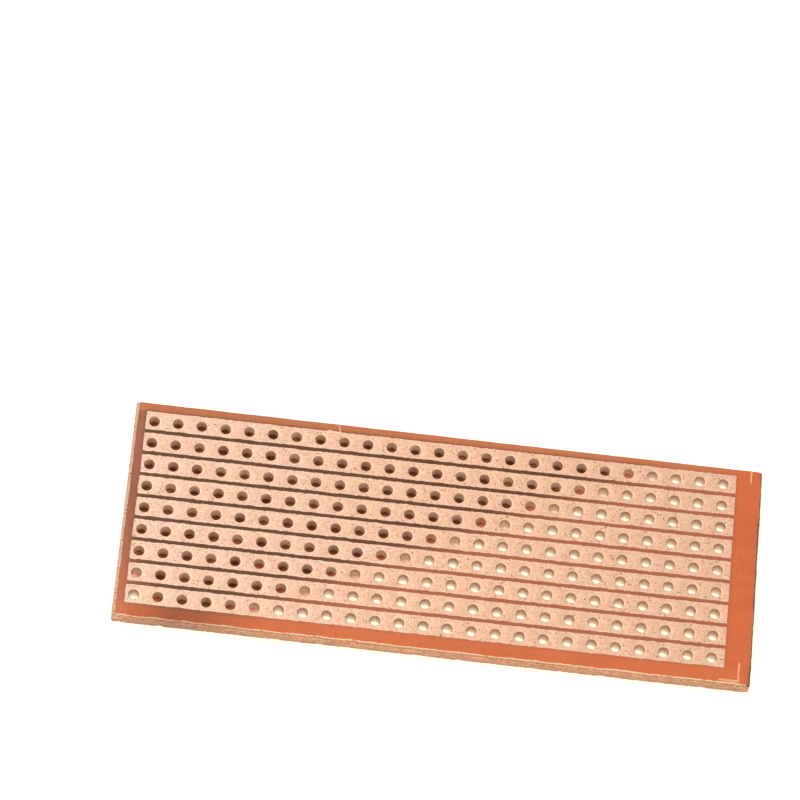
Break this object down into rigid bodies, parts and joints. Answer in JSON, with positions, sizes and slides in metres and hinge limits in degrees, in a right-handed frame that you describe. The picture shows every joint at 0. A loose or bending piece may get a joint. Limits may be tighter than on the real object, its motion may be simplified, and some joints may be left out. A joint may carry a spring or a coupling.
{
  "type": "strip-type prototype board",
  "caption": "Rectangular phenolic paper board with a grid of punched lead holes joined row by row by parallel copper foil strips.",
  "frame": {"origin": "centre of the board's underside", "axes": "+X along the copper strips, towards the wide bare border with the registration marks; +Z out of the copper side, away from the underside"},
  "size_m": [0.0674, 0.0254, 0.0016],
  "materials": {
    "phenolic_laminate": "glossy orange-brown resin face, dull fibrous cut edges",
    "copper_foil": "pale pink bare copper, satin, finely speckled with tarnish"
  },
  "bodies": {
    "root": {"phenolic_board": "phenolic_laminate", "copper_strip_1": "copper_foil", "copper_strip_2": "copper_foil", "copper_strip_3": "copper_foil", "copper_strip_4": "copper_foil", "copper_strip_5": "copper_foil", "copper_strip_6": "copper_foil", "copper_strip_7": "copper_foil", "copper_strip_8": "copper_foil", "copper_strip_9": "copper_foil", "copper_mark_front": "copper_foil", "copper_mark_back": "copper_foil"}
  },
  "joints": []
}
